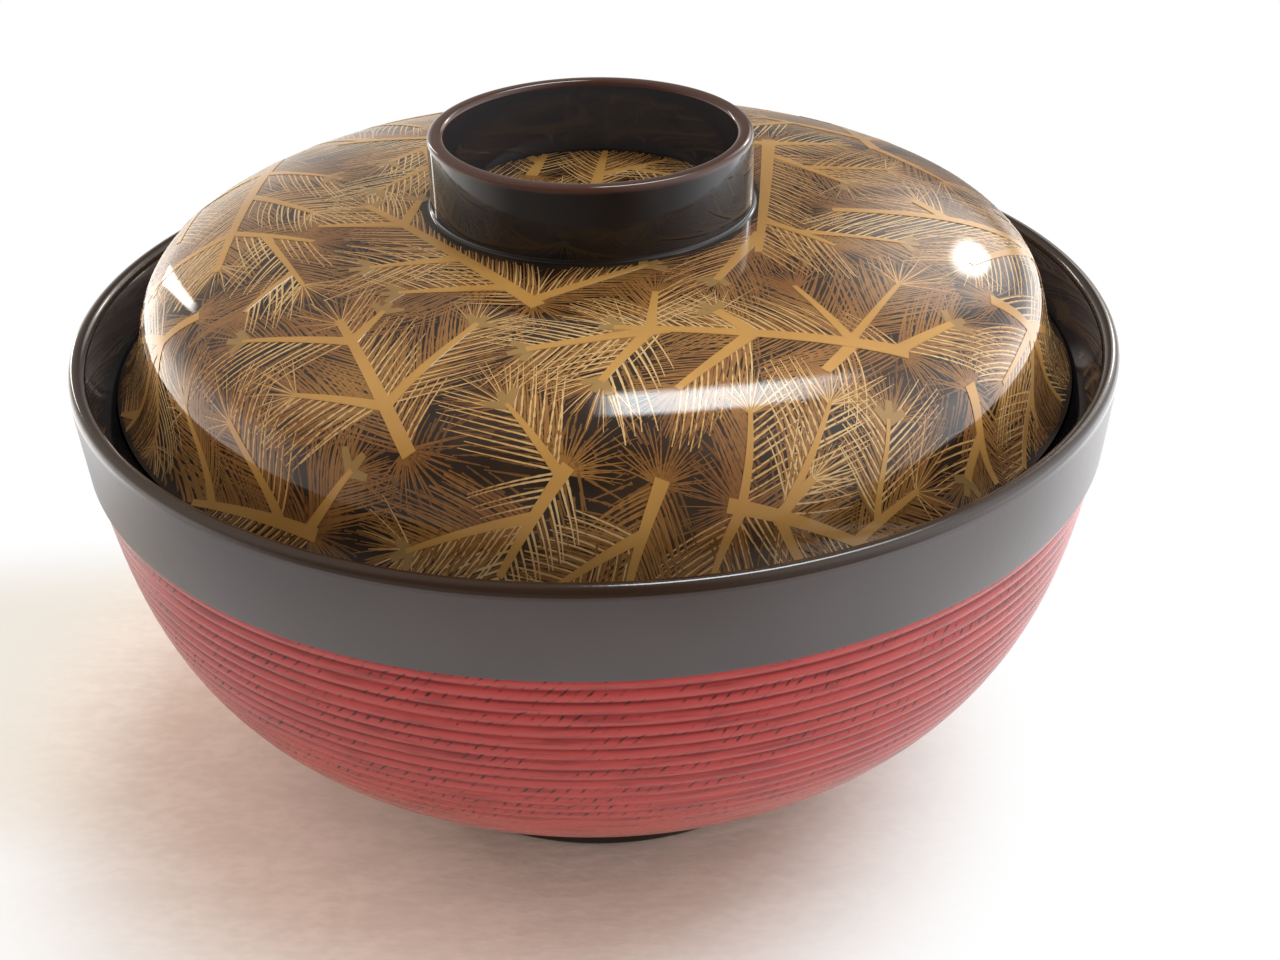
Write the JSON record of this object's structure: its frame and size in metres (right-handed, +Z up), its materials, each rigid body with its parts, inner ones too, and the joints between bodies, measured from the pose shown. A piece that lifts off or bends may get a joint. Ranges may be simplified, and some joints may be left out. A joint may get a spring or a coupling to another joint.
{
  "type": "lidded lacquer bowl",
  "caption": "Footed lacquer bowl with a thread-grooved red body, a black rim band and a domed lid with a knob ring that seats inside the rim and lifts off.",
  "frame": {"origin": "centre of the foot ring's underside, on the surface the bowl stands on", "axes": "+Z up along the turning axis of the bowl and lid; X and Y are any two square directions, as every piece is turned"},
  "size_m": [0.132, 0.132, 0.0873],
  "materials": {
    "bare_wood": "turned, unfinished under the lacquer",
    "hemp_cloth": "plain-woven hemp soaked in lacquer",
    "dark_lacquer": "polished brown-black lacquer",
    "satin_black": "satin black lacquer",
    "red_lacquer": "red lacquer over turned thread grooves, dark where rubbed",
    "gold_on_dark": "gold powder pine branches in polished brown-black lacquer"
  },
  "bodies": {
    "bowl": {"bowl_core": "bare_wood", "foot_ring": "dark_lacquer", "rim_cloth": "hemp_cloth", "base_cloth": "hemp_cloth", "base_coat": "dark_lacquer", "bowl_lining": "dark_lacquer", "rim_band": "satin_black", "grooved_coat": "red_lacquer"},
    "lid": {"lid_core": "bare_wood", "lid_edge_cloth": "hemp_cloth", "knob_ring": "dark_lacquer", "lid_coat": "gold_on_dark", "knob_well_coat": "gold_on_dark", "lid_lining": "dark_lacquer"}
  },
  "joints": [
    {"name": "lid_lift", "type": "slide", "parent": "bowl", "child": "lid", "axis": [0, 0, 1], "range_m": [0, 0.06]}
  ]
}
